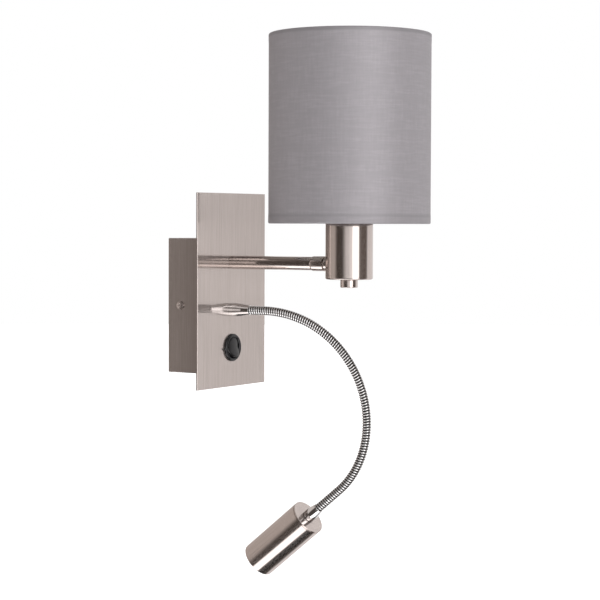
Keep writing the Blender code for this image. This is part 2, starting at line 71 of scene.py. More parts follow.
# Own axes of a turned piece, as rows: x, y and the axis it is turned about.
UPRIGHT = np.eye(3)
TO_FRONT = np.array([[1.0, 0, 0], [0, 0, 1], [0, -1, 0]])
TO_LEFT = np.array([[0.0, 1, 0], [0, 0, 1], [-1, 0, 0]])
TO_RIGHT = np.array([[0.0, 1, 0], [0, 0, 1], [1, 0, 0]])


def span(node):
    """Lowest and highest corner of a CAD node, as arrays."""
    low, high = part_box(node)
    return np.array(low, float), np.array(high, float)


def middle(node):
    """Centre of a CAD node's box."""
    low, high = span(node)
    return (low + high) / 2


def turned_size(node, along):
    """Lowest and highest corner, radius and length of a round CAD node on axis 1 or 2."""
    low, high = span(node)
    return low, high, (high[0] - low[0]) / 2, high[along] - low[along]


PLATE_FRONT = span("front_plate")[0][1]
SHADE_AXIS = middle("shade_fabric")[:2]
STAND_OFF = 0.00004  # gap between the plate and what stands on it
STUD_BORE = 0.0043  # radius of the holes that the hollow studs pass
RING_BORE = 0.0139  # radius of the holes that pass over the lamp socket's thread


# ---- settings --------------------------------------------------------------------------
def length(name, description, default):
    return FloatProperty(name=name, description=description, default=default, unit="LENGTH", precision=5)


def share(name, description, default):
    return FloatProperty(name=name, description=description, default=default, min=0, max=1, subtype="FACTOR")


def tint(name, description, default):
    return FloatVectorProperty(name=name, description=description, default=default, size=3, min=0, max=1,
                               subtype="COLOR")


class MetalSettings(bpy.types.PropertyGroup):
    nickel: tint("Nickel", "Colour of the satin nickel plating", (0.640, 0.575, 0.545))
    chrome: tint("Chrome", "Colour of the chrome plating", (0.86, 0.86, 0.865))
    satin: share("Satin", "Roughness of the clear reflection on the brushed pieces", 0.06)
    haze: share("Haze", "Share of the reflection that the brushing of turned pieces scatters", 0.20)
    plate_haze: share("Plate haze", "Share of the reflection that the brushing of flat faces scatters", 0.48)
    brush_pitch: length("Brush pitch", "Mean distance between two brush marks", 0.00035)


class ClothSettings(bpy.types.PropertyGroup):
    colour: tint("Cloth", "Colour of the shade cloth", (0.478, 0.457, 0.482))
    thread: length("Thread pitch", "Distance between two threads of the weave", 0.00042)
    thickness: length("Thickness", "Thickness of the cloth", 0.00036)
    hem: length("Hem", "Height of the turned-in edge that shows through", 0.0065)
    overlap: length("Seam", "Width of the glued overlap at the back", 0.009)


class NeckSettings(bpy.types.PropertyGroup):
    radius: length("Radius", "Outer radius of the wound neck", 0.00375)
    wire_pitch: length("Wire pitch", "Distance between two turns of the wire", 0.00215)
    groove: length("Groove", "Depth of the groove between two turns", 0.00075)
    straight: length("Straight", "Distance from the plate to the start of the bend", 0.0315)
    bend: length("Bend length", "Length of the bent part", 0.208)
    radius_start: length("First bend radius", "Bend radius where the bend starts", 0.116)
    radius_end: length("Last bend radius", "Bend radius where the bend ends", 0.067)
    total: length("Neck length", "Distance along the neck from the plate to the spot", 0.277)
    links: IntProperty(name="Sections", description="Number of sections that bend one by one", default=10)


class StageSettings(bpy.types.PropertyGroup):
    aim: FloatVectorProperty(name="Aim", description="Point the camera looks at", size=3, unit="LENGTH",
                             default=(-0.0121, -0.1099, 0.0059))
    azimuth: FloatProperty(name="Azimuth", description="Direction of the camera round the lamp",
                           default=radians(-58.35), unit="ROTATION")
    elevation: FloatProperty(name="Elevation", description="Height angle of the camera",
                             default=radians(2.372), unit="ROTATION")
    roll: FloatProperty(name="Roll", description="Tilt of the camera about its own axis",
                        default=radians(0.189), unit="ROTATION")
    distance: length("Distance", "From the camera to its aim", 1.4818)
    lens: FloatProperty(name="Lens", description="Focal length", default=110.8, unit="CAMERA")
    floor_z: length("Floor", "Height of the floor", -0.42)


# ---- shader expressions ----------------------------------------------------------------
class Value:
    """A socket of a node tree, with arithmetic that adds Math nodes."""

    def __init__(self, tree, socket):
        self.tree, self.socket = tree, socket

    def _math(self, operation, *operands):
        return self.tree.node("ShaderNodeMath", dict(operation=operation), *operands).first()

    def __add__(self, other):
        return self._math("ADD", self, other)

    def __sub__(self, other):
        return self._math("SUBTRACT", self, other)

    def __mul__(self, other):
        return self._math("MULTIPLY", self, other)

    def __truediv__(self, other):
        return self._math("DIVIDE", self, other)

    def __rsub__(self, other):
        return self._math("SUBTRACT", other, self)

    def __rtruediv__(self, other):
        return self._math("DIVIDE", other, self)

    def __neg__(self):
        return self._math("MULTIPLY", self, -1.0)

    __radd__, __rmul__ = __add__, __mul__

    def sine(self):
        return self._math("SINE", self)

    def fraction(self):
        return self._math("FRACT", self)

    def angle_to(self, other):
        return self._math("ARCTAN2", self, other)

    def arc_sine(self):
        return self._math("ARCSINE", self)

    def step(self, low, high):
        """Smoothly from 0 at low to 1 at high."""
        settings = dict(interpolation_type="SMOOTHSTEP")
        return self.tree.node("ShaderNodeMapRange", settings, self, low, high, 0.0, 1.0).first()


class Made:
    """A node that has been added, whose outputs are read by name."""

    def __init__(self, tree, node):
        self.tree, self.node = tree, node

    def __getitem__(self, name):
        return Value(self.tree, self.node.outputs[name])

    def first(self):
        enabled = [socket for socket in self.node.outputs if socket.enabled]
        return Value(self.tree, enabled[0])


class Tree:
    """A node tree that is written as expressions."""

    def __init__(self, tree):
        self.tree = tree
        tree.nodes.clear()

    def node(self, kind, settings=None, *inputs, **named):
        """Add a node: its settings, then the values or links of its sockets in order or by name."""
        node = self.tree.nodes.new(kind)
        for key, value in (settings or {}).items():
            setattr(node, key, value)
        sockets = [socket for socket in node.inputs if socket.enabled]
        pairs = list(zip(sockets, inputs))
        pairs += [(node.inputs[key.replace("_", " ")], value) for key, value in named.items()]
        for socket, value in pairs:
            if isinstance(value, Value):
                self.tree.links.new(value.socket, socket)
            elif value is not None:
                socket.default_value = value
        return Made(self, node)

    def place(self, scale=(1, 1, 1), turn=(0, 0, 0)):
        """Object coordinates, turned and stretched."""
        coordinates = self.node("ShaderNodeTexCoord")["Object"]
        mapping = self.node("ShaderNodeMapping", dict(vector_type="POINT"), coordinates,
                            Rotation=turn, Scale=scale)
        return mapping["Vector"]

    def parts(self, vector):
        made = self.node("ShaderNodeSeparateXYZ", None, vector)
        return made["X"], made["Y"], made["Z"]

    def vector(self, x, y, z):
        return self.node("ShaderNodeCombineXYZ", None, x, y, z)["Vector"]

    def noise(self, vector, scale, detail=3.0, roughness=0.55):
        return self.node("ShaderNodeTexNoise", None, Vector=vector, Scale=scale, Detail=detail,
                         Roughness=roughness)["Fac"]

    def cells(self, vector, scale):
        return self.node("ShaderNodeTexVoronoi", None, Vector=vector, Scale=scale)["Distance"]

    def mix(self, share_of_b, a, b):
        """Colour a towards colour b."""
        made = self.node("ShaderNodeMix", dict(data_type="RGBA"), share_of_b,
                         self._colour(a), self._colour(b))
        return Value(self, made.node.outputs[2])

    def _colour(self, colour):
        return colour if isinstance(colour, Value) else (*colour[:3], 1.0)

    def bump(self, height, strength, distance):
        return self.node("ShaderNodeBump", None, Strength=strength, Distance=distance,
                         Height=height)["Normal"]

    def principled(self, **sockets):
        return self.node("ShaderNodeBsdfPrincipled", None, **sockets)["BSDF"]

    def output(self, shader):
        self.node("ShaderNodeOutputMaterial", None, Surface=shader)

    def coat(self, base, rough, relief, **sockets):
        """End the material in one Principled shader with that colour, roughness and bump."""
        self.output(self.principled(Base_Color=base, Roughness=rough, Normal=relief, **sockets))


def shade_of(colour, times):
    """A colour made lighter or darker."""
    return tuple(min(1.0, channel * times) for channel in colour)


def new_material(name):
    material = bpy.data.materials.new("lamp_" + name)
    material.use_nodes = True
    return material, Tree(material.node_tree)


# ---- finishes --------------------------------------------------------------------------
def satin_nickel(name, share_name="haze", turn=(0, 0, 0), sideways=0.0):
    """Brushed satin nickel: fine marks up and down, a few deeper ones, and a faint bloom.

    turn brings the piece's brushing upright.  Two metal lobes are mixed, a clear one and one
    that the marks scatter, whose share is the setting of that name.  sideways is how much
    more that one spreads across the marks than along them.
    """
    settings = bpy.context.scene.lamp_metal
    haze = getattr(settings, share_name)
    material, t = new_material(name)
    across = 1.0 / settings.brush_pitch
    x, y, z = t.parts(t.place(turn=turn))
    marks = t.noise(t.vector(x * across, y * across, z * (across / 70)), 1.0, 4.0, 0.6)
    deep = t.noise(t.vector(x * (across * 0.20), y * (across * 0.20), z * (across / 260)), 1.0, 2.0, 0.5)
    bloom = t.noise(t.place(), 20.0, 3.0, 0.6)
    wide = t.noise(t.vector(x * 160, y * 160, z * 9), 1.0, 2.0, 0.5)
    scratch = deep.step(0.50, 0.70)
    base = t.mix(bloom.step(0.30, 0.72), shade_of(settings.nickel, 0.955), shade_of(settings.nickel, 1.03))
    base = t.mix(wide.step(0.35, 0.65) * 0.5, base, shade_of(settings.nickel, 0.93))
    base = t.mix(scratch * 0.40, base, shade_of(settings.nickel, 0.80))
    base = t.mix(marks.step(0.35, 0.65) * 0.25, base, shade_of(settings.nickel, 0.90))
    rough = settings.satin + (marks - 0.5) * 0.03 + (bloom - 0.5) * 0.02 + scratch * 0.02
    clear = t.principled(Base_Color=base, Metallic=1.0, Roughness=rough, Normal=t.bump(marks, 0.02, 0.00002))
    dull = t.principled(Base_Color=base, Metallic=1.0, Roughness=rough + 0.32, Anisotropic=sideways,
                        Normal=t.bump(marks + deep * 0.6, 0.10, 0.00004))
    t.output(t.node("ShaderNodeMixShader", None, haze + (marks - 0.5) * 0.3, clear, dull).first())
    return material


def chrome_plate(name):
    """Bright chrome with faint handling haze and hairline marks."""
    material, t = new_material(name)
    colour = bpy.context.scene.lamp_metal.chrome
    haze = t.noise(t.place(), 60.0, 4.0, 0.6)
    hairs = t.noise(t.place((900, 900, 90)), 1.0, 3.0, 0.6)
    base = t.mix(haze.step(0.35, 0.75), colour, shade_of(colour, 0.93))
    rough = 0.055 + haze.step(0.45, 0.8) * 0.07 + hairs.step(0.60, 0.75) * 0.05
    t.coat(base, rough, t.bump(hairs, 0.03, 0.00002), Metallic=1.0)
    return material


def wound_chrome(name):
    """Chrome wire, rougher and with painted shade in the grooves between its turns."""
    material, t = new_material(name)
    colour = bpy.context.scene.lamp_metal.chrome
    depth, _, _ = t.parts(t.node("ShaderNodeUVMap", dict(uv_map="groove"))["UV"])
    haze = t.noise(t.place(), 160.0, 4.0, 0.6)
    # Mask of the grooves between the turns: painted shade darkens them nearly to black, and the same mask makes
    # them rougher.
    dull = depth.step(0.25, 0.60)
    base = t.mix(haze.step(0.35, 0.75), colour, shade_of(colour, 0.90))
    base = t.mix(dull * 0.95, base, (0.030, 0.029, 0.028))
    rough = 0.07 + haze.step(0.45, 0.8) * 0.06 + dull * 0.30
    t.coat(base, rough, t.bump(haze, 0.03, 0.00003), Metallic=1.0)
    return material


def zinc_steel(name):
    """Zinc-plated steel: blotchy spangle with drawn marks and a slight warm passivation."""
    material, t = new_material(name)
    spangle = t.cells(t.place(), 420.0)
    drift = t.noise(t.place(), 35.0, 4.0, 0.6)
    marks = t.noise(t.place((2500, 2500, 60)), 1.0, 3.0, 0.6)
    base = t.mix(spangle.step(0.1, 0.8), (0.60, 0.61, 0.62), (0.50, 0.51, 0.53))
    base = t.mix(drift.step(0.5, 0.8) * 0.5, base, (0.60, 0.56, 0.47))
    rough = 0.34 + (drift - 0.5) * 0.2 + (marks - 0.5) * 0.12
    t.coat(base, rough, t.bump(marks + spangle * 0.4, 0.15, 0.00005), Metallic=1.0)
    return material


def brass(name):
    """Machined brass, darker where it has tarnished."""
    material, t = new_material(name)
    tarnish = t.noise(t.place(), 150.0, 5.0, 0.65)
    turning = t.noise(t.place((200, 4000, 200)), 1.0, 2.0)
    base = t.mix(tarnish.step(0.42, 0.75), (0.80, 0.60, 0.28), (0.50, 0.34, 0.15))
    rough = 0.24 + tarnish.step(0.4, 0.8) * 0.22
    t.coat(base, rough, t.bump(turning, 0.12, 0.00004), Metallic=1.0)
    return material


def aluminium(name):
    """Turned aluminium with fine tool rings and a dull oxide."""
    material, t = new_material(name)
    rings = t.noise(t.place((120, 120, 6000)), 1.0, 3.0, 0.6)
    oxide = t.noise(t.place(), 90.0, 4.0, 0.6)
    base = t.mix(oxide.step(0.35, 0.75), (0.74, 0.75, 0.76), (0.60, 0.61, 0.62))
    rough = 0.30 + (rings - 0.5) * 0.16 + oxide.step(0.5, 0.8) * 0.12
    t.coat(base, rough, t.bump(rings, 0.2, 0.00004), Metallic=1.0)
    return material


def shade_cloth(name):
    """Plain-weave cloth read on its own UV map, in metres: warp up the shade and weft round it.

    Height is the over and under of two sets of threads; slubs are threads that swell and fade
    along their length, and they also darken or lighten the cloth.
    """
    settings = bpy.context.scene.lamp_cloth
    material, t = new_material(name)
    uv = t.node("ShaderNodeUVMap", dict(uv_map="cloth"))["UV"]
    u, v, _ = t.parts(uv)
    turn = pi / settings.thread
    warp, weft = (u * turn).sine(), (v * turn).sine()
    weave = (warp * weft) * 0.5 + 0.5
    threads = (u * (2 * turn)).sine() * 0.5 + (v * (2 * turn)).sine() * 0.5
    along_u = t.noise(t.vector(u * 60, v * 620, 0.0), 1.0, 3.0, 0.6)
    along_v = t.noise(t.vector(u * 620, v * 60, 3.0), 1.0, 3.0, 0.6)
    broad_u = t.noise(t.vector(u * 18, v * 190, 7.0), 1.0, 2.0, 0.5)
    broad_v = t.noise(t.vector(u * 190, v * 18, 9.0), 1.0, 2.0, 0.5)
    slub = along_u.step(0.38, 0.64) * 0.6 + along_v.step(0.38, 0.64) * 0.4
    drift = broad_u * 0.7 + broad_v * 0.3
    base = t.mix(slub, shade_of(settings.colour, 0.93), shade_of(settings.colour, 1.12))
    base = t.mix(drift.step(0.40, 0.60) * 0.5, base, shade_of(settings.colour, 0.93))
    base = t.mix(weave * 0.35, base, shade_of(settings.colour, 0.80))
    # Darker where the cloth is turned in: at the hem, where the lining does not back it, and as painted shade in a
    # dark band under the top rim, where the cloth rolls over the wire; also a darker line along the hem's edge.
    fold_and_shade_amount, _, _ = t.parts(t.node("ShaderNodeUVMap", dict(uv_map="fold"))["UV"])
    base = t.mix(fold_and_shade_amount * 0.6, base, shade_of(settings.colour, 0.60))
    height = weave * 0.6 + threads * 0.2 + slub * 0.5
    t.coat(base, 0.52 + slub * 0.08, t.bump(height, 0.15, 0.00006), Metallic=0.28)
    return material


def moulded(name, colour, rough, grain=2600.0, relief=0.10, specular=0.5):
    """Moulded plastic or enamel: fine grain, slow drift of gloss, and dust in the low spots."""
    material, t = new_material(name)
    fine = t.noise(t.place(), grain, 3.0, 0.6)
    drift = t.noise(t.place(), 45.0, 4.0, 0.6)
    base = t.mix(drift.step(0.3, 0.75), shade_of(colour, 0.92), shade_of(colour, 1.06))
    base = t.mix(fine.step(0.62, 0.80) * 0.25, base, shade_of(colour, 1.35))
    t.coat(base, rough + (drift - 0.5) * 0.16 + (fine - 0.5) * 0.10, t.bump(fine, relief, 0.00006),
           Specular_IOR_Level=specular)
    return material


def lining_film(name):
    """Rolled styrene: white, with faint rolling lines and a soft sheen."""
    material, t = new_material(name)
    lines = t.noise(t.place((30, 30, 1800)), 1.0, 3.0, 0.55)
    drift = t.noise(t.place(), 30.0, 3.0, 0.6)
    base = t.mix(drift.step(0.3, 0.8), (0.86, 0.85, 0.82), (0.80, 0.79, 0.76))
    t.coat(base, 0.46 + (lines - 0.5) * 0.2, t.bump(lines, 0.08, 0.00005))
    return material


def opal_glass(name):
    """Opal glass: milky body under a clear glossy skin, a little thicker in places."""
    material, t = new_material(name)
    cloud = t.noise(t.place(), 70.0, 4.0, 0.55)
    base = t.mix(cloud.step(0.3, 0.8), (0.93, 0.92, 0.89), (0.86, 0.85, 0.82))
    t.coat(base, 0.16 + cloud * 0.10, t.bump(cloud, 0.02, 0.0002), Coat_Weight=0.4, Coat_Roughness=0.05)
    return material


def clear_acrylic(name):
    """Clear acrylic lens with moulded rings that catch the light."""
    material, t = new_material(name)
    swirl = t.noise(t.place(), 260.0, 3.0, 0.5)
    base = t.mix(swirl.step(0.35, 0.75), (0.93, 0.95, 0.96), (0.84, 0.88, 0.91))
    t.coat(base, 0.04 + swirl * 0.08, t.bump(swirl, 0.04, 0.0001), Transmission_Weight=0.85, IOR=1.49)
    return material


FINISH_MAKERS = {
    "satin_nickel": partial(satin_nickel, share_name="plate_haze", sideways=0.9),
    "nickel_upright": satin_nickel,
    "nickel_level": partial(satin_nickel, turn=(pi / 2, 0, 0)),
    "nickel_barrel": lambda name: satin_nickel(name, turn=neck_upright()),
    "chrome": chrome_plate,
    "wound_chrome": wound_chrome,
    "zinc_steel": zinc_steel,
    "brass": brass,
    "aluminium": aluminium,
    "grey_fabric": shade_cloth,
    "white_lining": lining_film,
    "opal_glass": opal_glass,
    "clear_plastic": clear_acrylic,
}
# Moulded finishes: colour, roughness, grain, relief and specular level.
MOULDED = {
    "white_enamel": ((0.82, 0.82, 0.80), 0.30, 900.0, 0.05),
    "black_plastic": ((0.020, 0.020, 0.022), 0.30),
    "black_gloss": ((0.012, 0.012, 0.014), 0.24, 2600.0, 0.03, 0.40),
    "white_plastic": ((0.80, 0.79, 0.74), 0.42),
    "led_phosphor": ((0.86, 0.70, 0.16), 0.55, 9000.0, 0.3),
    "grey_rubber": ((0.075, 0.075, 0.075), 0.70, 1500.0, 0.25, 0.3),
    "blue_wire": ((0.05, 0.16, 0.55), 0.36, 1800.0, 0.05),
    "brown_wire": ((0.22, 0.09, 0.04), 0.36, 1800.0, 0.05),
}


def finish(name):
    """The material of that finish, made on first use.

    Its name starts with lamp_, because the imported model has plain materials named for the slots.
    """
    made = bpy.data.materials.get("lamp_" + name)
    if made is None:
        made = moulded(name, *MOULDED[name]) if name in MOULDED else FINISH_MAKERS[name](name)
    return made


# ---- surfaces --------------------------------------------------------------------------
def surface(name, grid, around=True, closed=False, poles=False, uv=None):
    """Mesh of a grid of points, rows by columns: a quad between each four neighbours.

    around joins the last column to the first, closed joins the last row to the first, and
    poles merges rows that have shrunk to one point.  uv holds one place for each point.
    """
    grid = np.asarray(grid, float)
    rows, columns = grid.shape[:2]
    here = np.arange(rows * columns).reshape(rows, columns)
    below = np.roll(here, -1, axis=0)
    quads = np.stack([here, below, np.roll(below, -1, axis=1), np.roll(here, -1, axis=1)], axis=-1)
    quads = quads[:rows if closed else rows - 1, :columns if around else columns - 1].reshape(-1, 4)
    mesh = bpy.data.meshes.new(name)
    mesh.vertices.add(rows * columns)
    mesh.vertices.foreach_set("co", grid.reshape(-1))
    mesh.loops.add(quads.size)
    mesh.loops.foreach_set("vertex_index", quads.reshape(-1))
    mesh.polygons.add(len(quads))
    mesh.polygons.foreach_set("loop_start", np.arange(0, quads.size, 4))
    mesh.update(calc_edges=True)
    if uv is not None:
        layer = mesh.uv_layers.new(name="cloth")
        layer.uv.foreach_set("vector", np.asarray(uv, float).reshape(-1, 2)[quads.reshape(-1)].reshape(-1))
    if uv is None:
        clean(mesh, poles)
    obj = bpy.data.objects.new(name, mesh)
    bpy.context.scene.collection.objects.link(obj)
    return obj


def paint(obj, name, amount):
    """Store one amount for each point of a surface, in the first coordinate of a UV map."""
    mesh = obj.data
    corners = np.zeros(len(mesh.loops), int)
    mesh.loops.foreach_get("vertex_index", corners)
    values = np.stack([np.asarray(amount, float).reshape(-1)[corners], np.zeros(len(corners))], -1)
    mesh.uv_layers.new(name=name).uv.foreach_set("vector", values.reshape(-1))


def clean(mesh, poles=False):
    """Merge the poles and turn every face of the closed mesh outwards."""
    bm = bmesh.new()
    bm.from_mesh(mesh)
    if poles:
        bmesh.ops.remove_doubles(bm, verts=bm.verts, dist=1e-7)
    bmesh.ops.recalc_face_normals(bm, faces=bm.faces)
    bm.to_mesh(mesh)
    bm.free()


def complete(obj, slot, body="root", stands_for=(), finish_name=None, angle=38.0):
    """Shade a piece smooth, give it its finish, tie it to its body, and hide the CAD nodes it stands for."""
    obj.data.shade_smooth()
    obj.data.set_sharp_from_angle(angle=radians(angle))
    obj.data.materials.clear()
    obj.data.materials.append(finish(finish_name or slot))
    if body:
        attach(obj, body)
    if stands_for:
        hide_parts(*stands_for)
    return obj


def rounded(outline, steps=5):
    """A closed outline of (radius, height, fillet) corners with each corner eased.

    Between the points S and E, at the fillet's distance before and after a corner P, the
    outline follows (1-t)^2 S + 2t(1-t) P + t^2 E.
    """
    corners = np.array([corner[:2] for corner in outline], float)
    points = []
    for k, corner in enumerate(outline):
        ease = corner[2] if len(corner) > 2 else 0.0
        if ease == 0.0:
            points.append(corners[k][None])
            continue
        before, after = corners[k - 1] - corners[k], corners[(k + 1) % len(corners)] - corners[k]
        start = corners[k] + before / np.linalg.norm(before) * ease
        end = corners[k] + after / np.linalg.norm(after) * ease
        t = np.linspace(0, 1, steps + 1)[:, None]
        points.append((1 - t) ** 2 * start + 2 * t * (1 - t) * corners[k] + t * t * end)
    return np.concatenate(points)


def revolve(outline, centre, axes=UPRIGHT, sides=72, wave=None):
    """Points of an outline carried round an axis: centre + r (cos a x + sin a y) + h z.

    wave, if given, is a function of the radius and the angle that adds to r.
    """
    outline = np.asarray(outline, float)
    angle = np.arange(sides) * tau / sides
    radius = outline[:, 0][:, None] * np.ones(sides)
    if wave is not None:
        radius = radius + wave(outline[:, 0][:, None], angle[None])
    x, y, z = axes
    ring = np.cos(angle)[:, None] * x + np.sin(angle)[:, None] * y
    return np.asarray(centre) + radius[..., None] * ring[None] + outline[:, 1][:, None, None] * z


def turned(name, outline, centre, axes=UPRIGHT, sides=72, wave=None):
    """A turned piece from a closed outline, or from one that starts and ends on the axis."""
    outline = np.asarray(outline, float)
    on_axis = outline[0, 0] == 0 and outline[-1, 0] == 0
    grid = revolve(outline, centre, axes, sides, wave)
    return surface(name, grid, closed=not on_axis, poles=on_axis)


def lathe(node, outline, centre, axes=UPRIGHT, sides=72, finish_name=None, body="root", piece=None,
          wave=None):
    """Turn the fine piece that stands for a CAD node, and complete it."""
    made = turned((piece or node) + "_fine", outline, centre, axes, sides, wave)
    return complete(made, SLOT_OF[node], body, [node], finish_name)


def superblock(name, size, centre, edge=0.25, rows=25, columns=48):
    """A block with soft edges: a superellipsoid, where every cosine and sine of the sphere's
    latitude and longitude is raised to the small power edge and keeps its sign."""
    def power(values):
        return np.sign(values) * np.abs(values) ** edge
    latitude = np.linspace(-pi / 2, pi / 2, rows)[:, None]
    longitude = (np.arange(columns) + 0.5)[None] * tau / columns
    x = power(np.cos(latitude)) * power(np.cos(longitude))
    y = power(np.cos(latitude)) * power(np.sin(longitude))
    z = power(np.sin(latitude)) * np.ones_like(longitude)
    return surface(name, np.stack([x, y, z], -1) * np.array(size) / 2 + np.array(centre), poles=True)


# ---- the neck's centre line ------------------------------------------------------------
def neck_angle(s):
    """Heading below level at the distance s from the plate: the curvature grows evenly over
    the bend, from one over the first radius to one over the last."""
    neck = bpy.context.scene.lamp_neck
    u = np.clip(np.asarray(s, float) - neck.straight, 0, neck.bend)
    start, end = 1 / neck.radius_start, 1 / neck.radius_end
    return start * u + (end - start) * u * u / (2 * neck.bend)


def neck_points(s):
    """Points of the centre line at the distances s: the heading summed in steps of a quarter of
    a millimetre."""
    fine = np.linspace(0, bpy.context.scene.lamp_neck.total, 1200)
    heading = neck_angle((fine[1:] + fine[:-1]) / 2)
    step = fine[1] - fine[0]
    forward = np.concatenate([[0], np.cumsum(np.cos(heading)) * step])
    down = np.concatenate([[0], np.cumsum(np.sin(heading)) * step])
    start_z = middle("root_ferrule")[2]
    y = PLATE_FRONT - np.interp(s, fine, forward)
    z = start_z - np.interp(s, fine, down)
    return np.stack([np.zeros_like(y), y, z], -1)


def neck_upright():
    """Turn that brings the direction of the neck's end upright."""
    return (-pi / 2 - float(neck_angle(bpy.context.scene.lamp_neck.total)), 0, 0)


def neck_axes(s):
    """Own axes of a turned piece on the neck at s: sideways, up off the neck, and along it."""
    angle = float(neck_angle(s))
    along = np.array([0, -cos(angle), -sin(angle)])
    side = np.array([1.0, 0, 0])
    return np.array([side, np.cross(along, side), along])


# ---- operators -------------------------------------------------------------------------
class LAMP_OT_hardware(bpy.types.Operator):
    """Give every CAD node the finish of its material slot"""
    bl_idname = "lamp.hardware"
    bl_label = "Hardware finishes"

    def execute(self, context):
        for name, node in NODES.items():
            node.data.materials.clear()
            node.data.materials.append(finish(SLOT_OF[name]))
        return {"FINISHED"}


class LAMP_OT_screws(bpy.types.Operator):
    """Pan heads of the two box screws, with a cross recess"""
    bl_idname = "lamp.screws"
    bl_label = "Box screws"

    def execute(self, context):
        for name, axes in (("box_screw_left", TO_LEFT), ("box_screw_right", TO_RIGHT)):
            low, high = span(name)
            head_r, head_tall, gap, shank_r = (high[2] - low[2]) / 2, 0.0018, 0.0003, 0.0016
            side = axes[2][0]
            seat = np.array([side * (span("back_box")[1][0] + gap), *middle(name)[1:]])
            tip = (high - low)[0] - head_tall
            # A low dome h = 1.2 mm (1 - 0.3 (r / R)^2), less a cross whose two arms fade out.
            share_out = np.concatenate([np.linspace(0, 1, 22), [1.0, 1.0]])
            radius = share_out * head_r
            angle = np.arange(96) * tau / 96
            x, y = radius[:, None] * np.cos(angle), radius[:, None] * np.sin(angle)
            dome = 0.0012 * (1 - 0.3 * share_out[:, None] ** 2) * np.ones_like(x)
            arm = np.minimum(np.abs(x), np.abs(y))
            cross_r, fade, arm_half, deep = 0.0021, 0.0004, 0.00030, 0.0007
            cross = np.clip(1.6 - arm / arm_half, 0, 1) * np.clip((cross_r - np.hypot(x, y)) / fade, 0, 1)
            height = dome - deep * cross
            height[-2:] = np.array([[0.0002], [0.0]])
            outline = [(shank_r, 0), (shank_r, -tip + 0.0004), (0.0012, -tip), (0, -tip)]
            shank = revolve(outline, seat, axes, 96)
            head = seat + x[..., None] * axes[0] + y[..., None] * axes[1] + height[..., None] * axes[2]
            screw = surface(name + "_fine", np.concatenate([head, shank]), poles=True)
            complete(screw, SLOT_OF[name], stands_for=[name])
        return {"FINISHED"}


class LAMP_OT_arm(bpy.types.Operator):
    """Arm tube, its collar, and the spacer whose end follows the round of the cup"""
    bl_idname = "lamp.arm"
    bl_label = "Arm"

    def execute(self, context):
        _, high, radius, run = turned_size("arm_tube", 1)
        start = np.array([0, PLATE_FRONT - STAND_OFF, middle("arm_tube")[2]])
        run += start[1] - high[1]
        outline = rounded([(STUD_BORE, 0), (radius, 0), (radius, run, 0.0004), (STUD_BORE, run)])
        lathe("arm_tube", outline, start, TO_FRONT, finish_name="nickel_level")

        _, high, radius, run = turned_size("arm_collar", 1)
        start[1] = high[1]
        outline = rounded([(STUD_BORE, 0), (radius - 0.0003, 0), (radius, 0.0006, 0.0004),
                           (radius, run, 0.0002), (STUD_BORE, run)])
        lathe("arm_collar", outline, start, TO_FRONT, finish_name="nickel_level")

        _, high, radius, run = turned_size("arm_spacer", 1)
        start[1] = high[1]
        outline = rounded([(STUD_BORE, 0), (radius, 0, 0.0004), (radius, run, 0.0003), (STUD_BORE, run)])
        grid = revolve(outline, start, TO_FRONT)
        cup_r = turned_size("holder_cup", 2)[2]
        share_along = (outline[:, 1] / run)[:, None]
        hollow = cup_r - np.sqrt(cup_r ** 2 - grid[..., 0] ** 2)
        grid[..., 1] -= share_along * hollow
        spacer = surface("arm_spacer_fine", grid, closed=True)
        complete(spacer, "satin_nickel", stands_for=["arm_spacer"], finish_name="nickel_level")
        return {"FINISHED"}


class LAMP_OT_cup(bpy.types.Operator):
    """Lamp holder cup and the cap nut under it"""
    bl_idname = "lamp.cup"
    bl_label = "Lamp holder cup"

    def execute(self, context):
        low, _, radius, top = turned_size("holder_cup", 2)
        wall, floor = 0.0010, 0.0015
        axis = np.array([*SHADE_AXIS, low[2]])
        outline = rounded([(STUD_BORE, 0), (radius, 0, 0.0016), (radius, top, 0.0003),
                           (radius - wall, top, 0.0003), (radius - wall, floor, 0.0012),
                           (STUD_BORE, floor)], 8)
        lathe("holder_cup", outline, axis, sides=128, finish_name="nickel_upright")
        low, _, radius, tall = turned_size("cap_nut", 2)
        axis[2] = low[2]
        outline = rounded([(0, 0), (radius, 0, 0.0007), (radius, tall, 0.0004), (STUD_BORE, tall),
                           (STUD_BORE, 0.0020), (0, 0.0020)], 6)
        lathe("cap_nut", outline, axis, sides=96, finish_name="nickel_upright")
        return {"FINISHED"}


class LAMP_OT_socket(bpy.types.Operator):
    """Lamp socket with its outer thread, and the ring nut that holds the shade"""
    bl_idname = "lamp.socket"
    bl_label = "Lamp socket"

    def execute(self, context):
        low, _, _, tall = turned_size("lamp_socket", 2)
        axis = np.array([*SHADE_AXIS, low[2]])
        pitch, deep = 0.0020, 0.00018
        ridge_z = np.arange(0.016, tall - 0.0015, 0.0004)
        ridges = [(0.0133 + deep * sin(tau * z / pitch), z) for z in ridge_z]
        foot = [(STUD_BORE, 0), (0.0108, 0), (0.0110, 0.0003), (0.0110, 0.0078), (0.0112, 0.0082),
                (0.0135, 0.0102), (0.0135, 0.0150)]
        mouth = [(0.0134, tall - 0.0008), (0.0130, tall), (0.0082, tall), (0.0080, tall - 0.0003),
                 (0.0080, 0.0080), (0.0015, 0.0080), (0.0015, 0.0055), (STUD_BORE, 0.0055)]
        lathe("lamp_socket", foot + ridges + mouth, axis)
        low, _, _, tall = turned_size("shade_ring_nut", 2)
        axis[2] = low[2]

        def knurl(radius, angle):
            """Thirty-six ridges round the outside only."""
            return 0.00022 * np.sin(36 * angle) * (radius > 0.0150)

        outline = rounded([(RING_BORE, 0), (0.0172, 0, 0.0002), (0.0172, 0.0011, 0.0003),
                           (0.0158, 0.0016), (0.0156, tall, 0.0003), (RING_BORE, tall)])
        lathe("shade_ring_nut", outline, axis, sides=288, wave=knurl)
        return {"FINISHED"}


